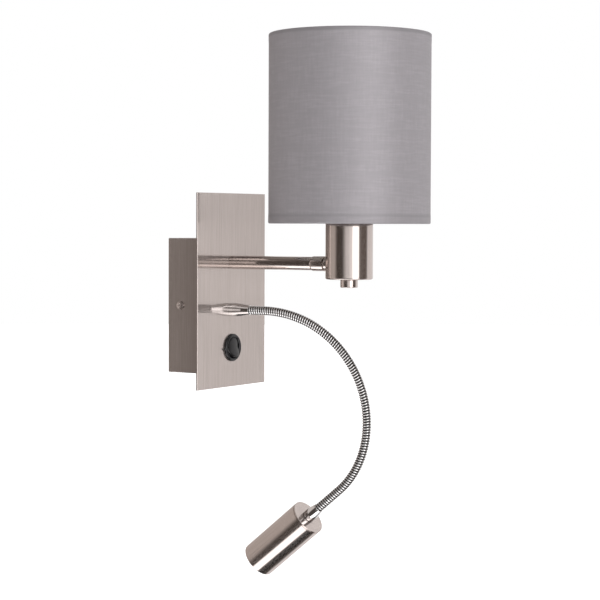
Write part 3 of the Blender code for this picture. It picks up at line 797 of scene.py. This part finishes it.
class LAMP_OT_bulb(bpy.types.Operator):
    """Opal bulb and its screw cap"""
    bl_idname = "lamp.bulb"
    bl_label = "Bulb"

    def execute(self, context):
        low, _, _, tall = turned_size("bulb_cap", 2)
        axis = np.array([*SHADE_AXIS, low[2]])
        pitch, deep = 0.0028, 0.00025
        thread_z = np.arange(0.0060, tall - 0.0040, 0.00025)
        thread = [(0.00655 + deep * sin(tau * z / pitch), z) for z in thread_z]
        outline = [(0, 0), (0.0018, 0.0001), (0.0024, 0.0012), (0.0053, 0.0033), (0.0062, 0.0048)] + thread
        outline += [(0.0067, tall - 0.0035), (0.0068, tall - 0.0002), (0.0066, tall), (0, tall)]
        lathe("bulb_cap", outline, axis, sides=48)

        low, _, _, tall = turned_size("bulb_glass", 2)
        axis[2] = low[2]
        globe_r, throat, wall = tall * 0.0225 / 0.055, 0.0072, 0.0009
        centre = tall - globe_r
        meet = 0.46
        angle = np.linspace(meet, pi, 40)
        globe = np.stack([globe_r * np.sin(angle), centre - globe_r * np.cos(angle)], -1)
        # The neck eases from the throat into the globe on a cubic with matching slopes.
        t = np.linspace(0, 1, 16)[:-1, None]
        start, end = np.array([throat, 0.0020]), globe[0]
        leave, arrive = np.array([0, 0.0090]), np.array([cos(meet), sin(meet)]) * 0.0110
        neck = ((2 * t ** 3 - 3 * t ** 2 + 1) * start + (t ** 3 - 2 * t ** 2 + t) * leave
                + (3 * t ** 2 - 2 * t ** 3) * end + (t ** 3 - t ** 2) * arrive)
        outside = np.concatenate([[[throat, 0]], neck, globe])
        outside[-1, 0] = 0
        inside = outside.copy()
        inside[:, 0] = np.maximum(inside[:, 0] - wall, 0)
        inside[-1, 1] -= wall
        inside[:-1, 1] -= wall * (outside[:-1, 1] > centre) * (outside[:-1, 1] - centre) / globe_r
        shell = np.concatenate([revolve(outside[::-1], axis), revolve(inside, axis)])
        glass = surface("bulb_glass_fine", shell, poles=True)
        complete(glass, "opal_glass", stands_for=["bulb_glass"])
        return {"FINISHED"}


class LAMP_OT_shade(bpy.types.Operator):
    """Drum shade: stretched cloth turned in over two wire rings, its lining, and the carrier"""
    bl_idname = "lamp.shade"
    bl_label = "Drum shade"

    def execute(self, context):
        settings = context.scene.lamp_cloth
        low, _, outer, tall = turned_size("shade_fabric", 2)
        centre = np.array([*SHADE_AXIS, low[2]])
        ring_low, ring_high = span("shade_top_ring")
        wire = (ring_high[2] - ring_low[2]) / 2
        ring_r = (ring_high[0] - ring_low[0]) / 2 - wire
        skin = outer - settings.thickness / 2
        self.cloth(settings, centre, skin, ring_r, wire, tall)

        lining_r, film = turned_size("shade_lining", 2)[2], 0.0005
        start, end = 0.0012, tall - 0.0012
        outline = rounded([(lining_r - film, start), (lining_r, start, 0.0001), (lining_r, end, 0.0001),
                           (lining_r - film, end)], 3)
        lathe("shade_lining", outline, centre, sides=160)

        angle = np.arange(20) * tau / 20
        ring = np.stack([ring_r + wire * np.cos(angle), wire * np.sin(angle)], -1)
        at = centre.copy()
        at[2] = (ring_low[2] + ring_high[2]) / 2
        lathe("shade_top_ring", ring, at, sides=160)
        self.carrier(centre, ring, ring_r)
        return {"FINISHED"}

    def cloth(self, settings, centre, skin, ring_r, wire, tall):
        """The cloth's centre sheet: up the outside, round both wires and down inside them.

        The path is a list of (radius, height) points whose running length gives the UV map's
        height; round the shade it runs a full turn plus the overlap, which stands proud.
        """
        half = settings.thickness / 2
        roll = wire + half + 0.0001
        low_z, turned_in = 0.0004 + wire, 0.0085
        under = np.linspace(pi, 1.5 * pi, 9)
        inner = ring_r - roll
        hem_z = np.linspace(turned_in, low_z, 7)[:-1]
        bottom = np.stack([ring_r + roll * np.cos(under), low_z + roll * np.sin(under)], -1)
        corner = np.linspace(-pi / 2, 0, 7)
        ease = 0.0009
        edge = np.stack([skin - ease + ease * np.cos(corner),
                         bottom[-1, 1] + ease + ease * np.sin(corner)], -1)
        rise = np.linspace(edge[-1, 1], tall / 2, 60)[1:]
        # The hem's double thickness prints through as a step of about a tenth of a millimetre.
        step, soft = 0.00012, 0.00025
        print_through = step / (1 + np.exp((rise - settings.hem) / soft))
        side = np.stack([skin - step + print_through, rise], -1)
        lower = np.concatenate([np.stack([np.full(6, inner), hem_z], -1), bottom, edge, side])
        upper = np.stack([lower[::-1, 0], tall - lower[::-1, 1]], -1)[1:]
        path = np.concatenate([lower, upper])
        path = path[np.concatenate([[True], np.linalg.norm(np.diff(path, axis=0), axis=1) > 1e-6])]
        run = np.concatenate([[0], np.cumsum(np.linalg.norm(np.diff(path, axis=0), axis=1))])
        around = 181
        seam = settings.overlap / skin
        angle = pi / 2 - seam / 2 + np.linspace(0, tau + seam, around)
        # Only the last stretch of the turn climbs over the first, by one thickness.
        over = np.clip((angle - angle[0] - tau + seam * 0.4) / (seam * 0.4), 0, 1)
        lift = (over * over * (3 - 2 * over))[None, :] * (settings.thickness + 0.00005)
        outward = np.where(path[:, 0] > ring_r, 1.0, -1.0)[:, None]
        radius = path[:, 0][:, None] + lift * outward - 0.0004 * (outward > 0)
        grid = np.stack([radius * np.cos(angle), radius * np.sin(angle),
                         path[:, 1][:, None] * np.ones(around)], -1) + centre
        uv = np.stack(np.broadcast_arrays(angle[None, :] * skin, run[:, None]), -1)
        cloth = surface("shade_cloth", grid, around=False, uv=uv)
        # Amounts of that darkening: the hem's is real, the band under the top rim (head) is painted shade, and
        # edge_line darkens the hem's edge.
        hem = (path[:, 1] < settings.hem) * 0.25
        head = (path[:, 1] > tall - settings.hem * 0.5) * 0.9
        edge_line = (np.abs(path[:, 1] - settings.hem) < 0.0012) * 0.5
        paint(cloth, "fold", (hem + head + edge_line)[:, None] * np.ones(around))
        solid = cloth.modifiers.new("thickness", "SOLIDIFY")
        solid.thickness, solid.offset = settings.thickness, 0.0
        complete(cloth, "grey_fabric", stands_for=["shade_fabric"])
        flat = ((tau + seam) * skin, float(run[-1]))

    def carrier(self, centre, ring, ring_r):
        """Hub, three flat arms and the lower wire ring, welded into one piece by a union."""
        low, high = span("shade_carrier")
        wire = ring[:, 1].max()
        at = centre.copy()
        at[2] = low[2] + wire
        carrier = turned("shade_carrier_fine", ring, at, sides=160)
        hub_r, hub_tall, bar_start, bar_half = 0.0205, 0.0015, 0.0190, (0.0024, 0.0005)
        hub_low = high[2] - hub_tall
        outline = rounded([(RING_BORE, 0), (hub_r, 0, 0.0002), (hub_r, hub_tall, 0.0002),
                           (RING_BORE, hub_tall)], 3)
        hub = turned("carrier_hub", outline, (*centre[:2], hub_low), sides=96)
        parts = [hub]
        for number in range(3):
            direction = radians(90 + 120 * number)
            along = np.array([cos(direction), sin(direction), 0])
            aside = np.array([-sin(direction), cos(direction), 0])
            # A flat bar whose height eases down from hub to ring on a smooth step.
            t = np.linspace(0, 1, 25)
            reach = bar_start + (ring_r - bar_start) * t
            drop = t * t * (3 - 2 * t)
            height = (hub_low + hub_tall / 2) * (1 - drop) + at[2] * drop
            section = np.array([(-1, -1), (-0.9, -1.25), (0.9, -1.25), (1, -1), (1, 1), (0.9, 1.25),
                                (-0.9, 1.25), (-1, 1)]) * bar_half
            line = centre * (1, 1, 0) + reach[:, None] * along + height[:, None] * np.array([0, 0, 1])
            bar = line[:, None] + section[None, :, :1] * aside + section[None, :, 1:] * np.array([0, 0, 1])
            bar = np.concatenate([line[:1, None].repeat(8, 1), bar, line[-1:, None].repeat(8, 1)])
            parts.append(surface("carrier_bar_%d" % number, bar, poles=True))
        weld(carrier, parts)
        complete(carrier, "white_enamel", stands_for=["shade_carrier"])


def weld(obj, parts):
    """Union of closed pieces, applied to the first, after which the others are removed."""
    for part in parts:
        modifier = obj.modifiers.new("weld", "BOOLEAN")
        modifier.operation, modifier.solver, modifier.object = "UNION", "EXACT", part
    graph = bpy.context.evaluated_depsgraph_get()
    mesh = bpy.data.meshes.new_from_object(obj.evaluated_get(graph))
    obj.modifiers.clear()
    obj.data = mesh
    for part in parts:
        bpy.data.objects.remove(part)


class LAMP_OT_switch(bpy.types.Operator):
    """Round rocker switch: rim, side key, and the rocker at rest"""
    bl_idname = "lamp.switch"
    bl_label = "Rocker switch"

    def execute(self, context):
        low, high = span("switch_housing")
        hinge = next(joint for joint in frame["joints"] if joint["name"] == "switch_rock")
        hinge_at = np.array(hinge["pos_m"])
        well = 0.0086
        rim_r, body_r, rim_t = 0.0115, 0.0098, 0.0020
        seat = np.array([0, low[1] + rim_t, hinge_at[2]])
        depth, well_floor = -(high[1] - low[1] - rim_t), -0.0085
        outline = rounded([(0, depth), (body_r, depth, 0.0006), (body_r, 0), (rim_r, 0, 0.0002),
                           (rim_r, 0.0010, 0.0006), (rim_r - 0.0010, rim_t, 0.0007),
                           (well + 0.0009, rim_t, 0.0004), (well, rim_t - 0.0008, 0.0004),
                           (well, well_floor), (0, well_floor)], 6)
        lathe("switch_housing", outline, seat, TO_FRONT, 128, "black_gloss", piece="switch_rim")
        key_at = (-rim_r - 0.0003, seat[1] - 0.0007, seat[2] - 0.0008)
        key = superblock("switch_key", (0.0024, 0.0012, 0.0018), key_at)
        complete(key, "black_plastic")
        self.rocker(hinge_at)
        return {"FINISHED"}

    def rocker(self, hinge_at):
        """The rocker in its level frame: a shallow V across the hinge, cut by a ball about it.

        Rows go out over the top from its middle, round the rim, down the ball's side and in
        under it.  The top's height is m + k sqrt(z^2 + e^2) - c (x / R)^2, and its reach at
        each angle is where that surface meets the ball of radius R.
        """
        ball, floor, lift, slope, ease, crown = 0.0083, -0.0050, 0.0010, np.tan(radians(11)), 0.0016, 0.0011
        angle = np.arange(96) * tau / 96

        def top(x, z):
            return lift + slope * np.sqrt(z ** 2 + ease ** 2) - crown * (x / ball) ** 2

        reach = np.full(96, ball)
        for _ in range(12):
            reach = np.sqrt(ball ** 2 - top(reach * np.sin(angle), reach * np.cos(angle)) ** 2)
        out = np.concatenate([np.linspace(0, 0.86, 14), [0.92, 0.96, 0.985]])[:, None]
        x, z = out * reach * np.sin(angle), out * reach * np.cos(angle)
        rows = [np.stack([x, top(x, z) - 0.00035 * (out > 0.95) * (out - 0.95) / 0.035, z], -1)]
        start = np.arcsin(top(reach * np.sin(angle), reach * np.cos(angle)) / ball) - 0.05
        end = np.arcsin(floor / ball)
        fall = np.linspace(0, 1, 10)[:, None]
        latitude = start * (1 - fall) + end * fall
        around = [ball * np.cos(latitude) * np.sin(angle), ball * np.sin(latitude),
                  ball * np.cos(latitude) * np.cos(angle)]
        rows.append(np.stack(np.broadcast_arrays(*around), -1))
        rows.append(np.broadcast_to(np.array([0, floor, 0]), (1, 96, 3)))
        local = np.concatenate(rows)
        tilt = radians(10)
        out_y, up_z = local[..., 1], local[..., 2]
        # Level frame to world: outwards is -Y, then the top end is pressed in.
        y, z = -out_y, up_z
        pressed_y, pressed_z = y * cos(tilt) + z * sin(tilt), -y * sin(tilt) + z * cos(tilt)
        world = np.stack([local[..., 0], pressed_y, pressed_z], -1)
        rocker = surface("switch_rocker_fine", world + hinge_at, poles=True)
        complete(rocker, "black_plastic", "rocker", ["switch_rocker"], "black_gloss", 50)


class LAMP_OT_neck(bpy.types.Operator):
    """Wound flexible neck in sections, with both end ferrules"""
    bl_idname = "lamp.neck"
    bl_label = "Flexible neck"

    def execute(self, context):
        neck = context.scene.lamp_neck
        low, _ = span("root_ferrule")
        start = np.array([0, PLATE_FRONT - STAND_OFF, middle("root_ferrule")[2]])
        run = start[1] - low[1]
        outline = rounded([(STUD_BORE, 0), (0.0058, 0), (0.0059, 0.0040, 0.0022),
                           (0.0053, 0.0096, 0.0030), (0.0044, run - 0.0036, 0.0030),
                           (0.0039, run, 0.0003), (0.0020, run), (0.0020, 0.0100), (STUD_BORE, 0.0100)], 8)
        lathe("root_ferrule", outline, start, TO_FRONT, 96)

        first = PLATE_FRONT - low[1] + 0.0003
        last = neck.total - 0.0135
        pitch = (last - first) / neck.links
        stations = np.concatenate([[first], first + (np.arange(neck.links) + 0.5) * pitch, [last]])
        bodies = ["root"] + ["neck_%d" % number for number in range(2, neck.links)] + ["spot"]
        for number in range(len(stations) - 1):
            start_s, end_s = stations[number], stations[number + 1]
            stand_for = ["neck_link_%02d" % (number + 1)] if number < neck.links else []
            piece = self.section("neck_winding_%02d" % (number + 1), start_s, end_s)
            if number == 0 or number == neck.links:
                body = bodies[0] if number == 0 else bodies[-1]
                complete(piece, "chrome", body, stand_for, "wound_chrome", 60)
                continue
            complete(piece, "chrome", None, stand_for, "wound_chrome", 60)
            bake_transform(piece)

        rear = neck_points(np.array([neck.total]))[0]
        axes = neck_axes(neck.total)
        outline = rounded([(0.0015, -0.0132), (0.0039, -0.0132, 0.0004), (0.0043, -0.0118, 0.0010),
                           (0.0051, -0.0070, 0.0024), (0.0054, -0.0016, 0.0012), (0.0053, -0.0003, 0.0002),
                           (0.0028, -0.0003), (0.0028, -0.0098), (0.0015, -0.0098)], 8)
        lathe("tip_ferrule", outline, rear, axes, 96, body="spot")
        return {"FINISHED"}

    def section(self, name, start, end):
        """Wound wire: at the distance s and angle a the radius is R - d (1 - cos(pi w)) / 2, where
        w runs from -1 to 1 over each turn of the helix, whose phase is s / pitch - a / (2 pi)."""
        neck = bpy.context.scene.lamp_neck
        sides = 36
        rows = max(2, int(round((end - start) / neck.wire_pitch * 10)) + 1)
        s = np.linspace(start, end, rows)
        angle = np.arange(sides) * tau / sides
        phase = s[:, None] / neck.wire_pitch - angle / tau
        w = 2 * (phase - np.floor(phase)) - 1
        depth = 0.5 - 0.5 * np.cos(pi * w)
        radius = neck.radius - neck.groove * depth
        heading = neck_angle(s)
        side = np.array([1.0, 0, 0])
        up = np.stack([np.zeros(rows), -np.sin(heading), np.cos(heading)], -1)
        line = neck_points(s)
        grid = (line[:, None] + radius[..., None] * (np.cos(angle)[:, None] * side
                                                    + np.sin(angle)[None, :, None] * up[:, None]))
        first, last = line[:1, None].repeat(sides, 1), line[-1:, None].repeat(sides, 1)
        piece = surface(name, np.concatenate([first, grid, last]), poles=False)
        paint(piece, "groove", np.concatenate([depth[:1], depth, depth[-1:]]))
        clean(piece.data, True)
        return piece


class LAMP_OT_spot(bpy.types.Operator):
    """Reading spot: barrel, lens with moulded rings, and the ring that holds it"""
    bl_idname = "lamp.spot"
    bl_label = "Reading spot"

    def execute(self, context):
        rear = neck_points(np.array([context.scene.lamp_neck.total]))[0]
        axes = neck_axes(context.scene.lamp_neck.total)
        radius, run, bore, hole = 0.015, 0.062, 0.0135, 0.0028
        seam_r, end_wall = radius - 0.0004, 0.0020
        outline = rounded([(hole, 0), (radius, 0, 0.0003), (radius, 0.0009), (seam_r, 0.0010),
                           (seam_r, 0.0014), (radius, 0.0015), (radius, run, 0.0009),
                           (bore + 0.0004, run, 0.0002), (bore, run - 0.0005), (bore, end_wall),
                           (hole, end_wall)], 6)
        lathe("head_barrel", outline, rear, axes, 144, "nickel_barrel", "spot", "spot_barrel")
        lens_r, ring_pitch, ring_deep, crown = 0.0115, 0.0016, 0.00022, 0.0004
        rings = [(r, 0.0594 + ring_deep * sin(tau * r / ring_pitch) + crown * (1 - (r / lens_r) ** 2))
                 for r in np.linspace(0.0112, 0, 57)]
        outline = [(0, 0.0498), (0.0040, 0.0498), (0.0066, 0.0516), (0.0090, 0.0545), (0.0107, 0.0572),
                   (lens_r, 0.0590)] + rings
        lathe("spot_lens", outline, rear, axes, body="spot")
        fit = bore - 0.0003
        outline = rounded([(0.0100, 0.0601, 0.0002), (fit, 0.0601), (fit, 0.0616, 0.0003),
                           (0.0108, 0.0616, 0.0005)])
        lathe("lens_ring", outline, rear, axes, 96, body="spot")
        return {"FINISHED"}


class LAMP_OT_stage(bpy.types.Operator):
    """Pale floor, soft studio lights and the camera"""
    bl_idname = "lamp.stage"
    bl_label = "Studio"

    def execute(self, context):
        stage = context.scene.lamp_stage
        self.camera(stage)
        self.floor(stage)
        self.world(stage)
        self.lights(stage)
        context.scene.view_settings.view_transform = "Standard"
        context.scene.view_settings.look = "None"
        return {"FINISHED"}

    def camera(self, stage):
        back = Vector((sin(stage.azimuth) * cos(stage.elevation), -cos(stage.azimuth) * cos(stage.elevation),
                       sin(stage.elevation)))
        data = bpy.data.cameras.new("camera")
        data.sensor_width, data.lens = 36.0, stage.lens
        data.clip_start, data.clip_end = 0.01, 60.0
        camera = bpy.data.objects.new("camera", data)
        bpy.context.scene.collection.objects.link(camera)
        aim = Vector(stage.aim)
        camera.location = aim + back * stage.distance
        turn = back.to_track_quat("Z", "Y").to_matrix() @ Matrix.Rotation(stage.roll, 3, "Z")
        camera.rotation_euler = turn.to_euler()
        bpy.context.scene.camera = camera

    def floor(self, stage):
        """A wide round floor, raised a little towards its rim: z = h (r / R)^4."""
        rim, rise = 7.0, 0.02
        radius = np.linspace(0, rim, 40)
        angle = np.arange(72) * tau / 72
        x, y = radius[:, None] * np.cos(angle), radius[:, None] * np.sin(angle)
        z = stage.floor_z + rise * (radius[:, None] / rim) ** 4 * np.ones_like(x)
        floor = surface("floor", np.stack([x, y, z], -1), uv=np.stack([x, y], -1))
        floor.data.shade_smooth()
        material, t = new_material("studio_floor")
        soft = t.noise(t.place(), 3.0, 3.0, 0.5)
        base = t.mix(soft, (0.90, 0.90, 0.90), (0.86, 0.86, 0.86))
        t.output(t.principled(Base_Color=base, Roughness=0.9, Emission_Color=(1, 1, 1, 1),
                              Emission_Strength=0.9, Specular_IOR_Level=0.1))
        floor.data.materials.append(material)
        floor.visible_glossy = floor.visible_diffuse = floor.visible_shadow = False

    def world(self, stage):
        """White to the eye.  Shiny faces see broad soft boxes in a dim warm room, and matt ones
        are lit by a smoother version of them.

        Each box is given by where it starts and ends to the right of the camera and the softness
        of those two edges, the same in height, all in degrees, and how bright it is.
        """
        white, cream = (1.0, 0.985, 0.985, 1.0), (1.0, 0.91, 0.86, 1.0)
        warm = (1.0, 0.82, 0.72, 1.0)
        seen = {white: [((-24, 46, 14, 8), (-12, 13, 6, 6), 0.80), ((1, 46, 12, 6), (-12, 13, 6, 6), 0.30),
                        ((-24, 46, 14, 8), (35, 54, 6, 6), 0.80), ((15, 46, 4, 4), (-38, 62, 4, 4), 1.60),
                        ((95, 190, 8, 6), (-56, 46, 6, 6), 0.84), ((-190, -166, 6, 6), (-56, 46, 6, 6), 0.84),
                        ((-114, 70, 7, 14), (-70, -39, 4, 4), 2.20)],
                cream: [((-166, -70, 6, 10), (-30, 40, 7, 8), 0.52),
                        ((-200, 200, 6, 6), (52, 100, 8, 6), 0.22)],
                warm: [((-200, 200, 6, 6), (-72, 100, 4, 6), 0.07),
                       ((46, 95, 8, 8), (-50, 50, 8, 8), 0.07)]}
        felt = {white: [((-36, 80, 26, 26), (-95, 95, 1, 1), 0.74),
                        ((-200, 200, 6, 6), (-100, 100, 6, 6), 0.24)]}
        world = bpy.data.worlds.new("studio")
        world.use_nodes = True
        world.cycles.sampling_method = "NONE"
        bpy.context.scene.world = world
        t = Tree(world.node_tree)
        x, y, z = t.parts(t.node("ShaderNodeTexCoord")["Generated"])
        turn = x.angle_to(-y) / tau - (stage.azimuth / tau - 0.5)
        right = (turn.fraction() - 0.5) * 360.0
        height = z.arc_sine() * (180.0 / pi)

        def inside(value, low, high, ease_in, ease_out):
            """One between low and high, and easing to nothing over twice the ease at each end."""
            risen = value.step(low - ease_in, low + ease_in)
            return risen * (1.0 - value.step(high - ease_out, high + ease_out))

        def glow(groups):
            shader = None
            for colour, boxes in groups.items():
                level = 0.0
                for sideways, upright, bright in boxes:
                    level = level + inside(right, *sideways) * inside(height, *upright) * bright
                light = t.node("ShaderNodeBackground", None, colour, level).first()
                shader = t.node("ShaderNodeAddShader", None, shader, light).first() if shader else light
            return shader

        path = t.node("ShaderNodeLightPath")
        matt = t.node("ShaderNodeMixShader", None, path["Is Diffuse Ray"], glow(seen), glow(felt)).first()
        plain = t.node("ShaderNodeBackground", None, (1, 1, 1, 1), 1.0).first()
        mixed = t.node("ShaderNodeMixShader", None, path["Is Camera Ray"], matt, plain).first()
        t.node("ShaderNodeOutputWorld", None, Surface=mixed)

    def lights(self, stage):
        """Two soft lamps, each given by the angle right of the camera, its height angle, distance,
        width, height and brightness."""
        lamps = [("overhead", -10, 76, 1.1, 0.9, 0.7, 0.25), ("side", 60, 20, 1.5, 0.6, 0.8, 0.20)]
        for name, right, height, distance, wide, tall, bright in lamps:
            bearing = stage.azimuth + radians(right)
            rise = radians(height)
            toward = Vector((sin(bearing) * cos(rise), -cos(bearing) * cos(rise), sin(rise)))
            data = bpy.data.lights.new(name, "AREA")
            data.shape, data.size, data.size_y = "RECTANGLE", wide, tall
            data.energy = bright * pi * wide * tall
            lamp = bpy.data.objects.new(name, data)
            bpy.context.scene.collection.objects.link(lamp)
            lamp.location = Vector(stage.aim) + toward * distance
            lamp.rotation_euler = toward.to_track_quat("Z", "Y").to_euler()
            lamp.visible_camera = False
            lamp.visible_glossy = False


OPERATORS = (LAMP_OT_hardware, LAMP_OT_screws, LAMP_OT_arm, LAMP_OT_cup, LAMP_OT_socket, LAMP_OT_bulb,
             LAMP_OT_shade, LAMP_OT_switch, LAMP_OT_neck, LAMP_OT_spot, LAMP_OT_stage)
SETTINGS = {"lamp_metal": MetalSettings, "lamp_cloth": ClothSettings, "lamp_neck": NeckSettings,
            "lamp_stage": StageSettings}


class LAMP_PT_panel(bpy.types.Panel):
    """Lists the lamp's pieces and settings"""
    bl_idname = "LAMP_PT_panel"
    bl_label = "Wall light"
    bl_space_type = "VIEW_3D"
    bl_region_type = "UI"
    bl_category = "Wall light"

    def draw(self, context):
        for operator in OPERATORS:
            self.layout.operator(operator.bl_idname)
        for key, group in SETTINGS.items():
            box = self.layout.box()
            for prop in group.__annotations__:
                box.prop(getattr(context.scene, key), prop)


def register():
    for key, group in SETTINGS.items():
        bpy.utils.register_class(group)
        setattr(bpy.types.Scene, key, PointerProperty(type=group))
    for cls in (*OPERATORS, LAMP_PT_panel):
        bpy.utils.register_class(cls)


def unregister():
    for cls in reversed((*OPERATORS, LAMP_PT_panel)):
        bpy.utils.unregister_class(cls)
    for key, group in SETTINGS.items():
        delattr(bpy.types.Scene, key)
        bpy.utils.unregister_class(group)


def main():
    register()
    for operator in OPERATORS:
        group, name = operator.bl_idname.split(".")
        getattr(getattr(bpy.ops, group), name)()


if __name__ == "__main__":
    main()
